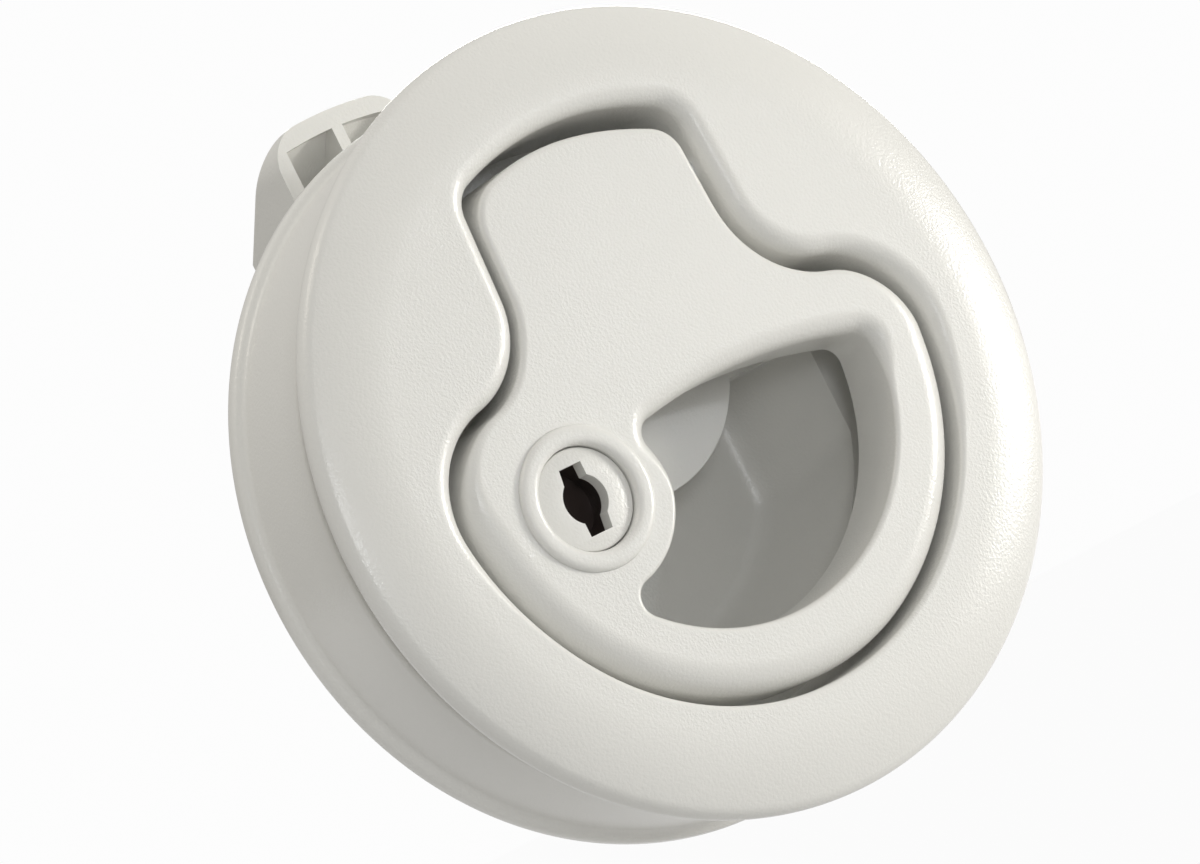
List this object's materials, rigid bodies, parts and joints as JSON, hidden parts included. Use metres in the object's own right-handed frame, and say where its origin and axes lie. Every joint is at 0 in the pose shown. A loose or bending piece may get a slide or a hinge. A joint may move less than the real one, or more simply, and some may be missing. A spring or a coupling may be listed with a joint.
{
  "type": "flush pull latch",
  "caption": "Round flush pull latch for a panel or locker door: a hinged finger-pull handle with a key lock in a recessed bezel draws back a spring slam bolt behind the panel.",
  "frame": {"origin": "on the latch axis, in the plane where the bezel sits on the panel", "axes": "+X to the right seen from the front, +Y through the panel away from the user, +Z towards the bolt's nose"},
  "size_m": [0.063, 0.0422, 0.0657],
  "materials": {
    "white_nylon": "satin, finely textured warm white",
    "steel": "plain stainless",
    "spring_steel": "drawn stainless wire"
  },
  "bodies": {
    "housing": {"housing": "white_nylon", "clamp_ring": "white_nylon", "rear_cover": "white_nylon", "cover_screws": "steel", "handle_pin": "steel", "handle_spring": "spring_steel", "bolt_spring_left": "spring_steel", "bolt_spring_right": "spring_steel"},
    "handle": {"handle": "white_nylon", "lock_collar": "white_nylon"},
    "lock": {"lock_plug": "white_nylon", "lock_cam": "steel", "cam_screw": "steel"},
    "bolt": {"bolt": "white_nylon"}
  },
  "joints": [
    {"name": "handle_lift", "type": "hinge", "parent": "housing", "child": "handle", "pos_m": [0, -0.0004, 0.016], "axis": [-1, 0, 0], "range_deg": [0, 32], "stiffness_Nm_per_rad": 0.05, "springref_deg": -17.19, "deforming": ["handle_spring"]},
    {"name": "lock_turn", "type": "hinge", "parent": "handle", "child": "lock", "pos_m": [-0.0124, 0, -0.0032], "axis": [0, -1, 0], "range_deg": [0, 90]},
    {"name": "bolt_slide", "type": "slide", "parent": "housing", "child": "bolt", "axis": [0, 0, -1], "range_m": [0, 0.00849], "deforming": ["bolt_spring_left", "bolt_spring_right"]}
  ],
  "couplings": [
    {"joint": "bolt_slide", "follows": "handle_lift", "m_per_rad": 0.015195}
  ]
}
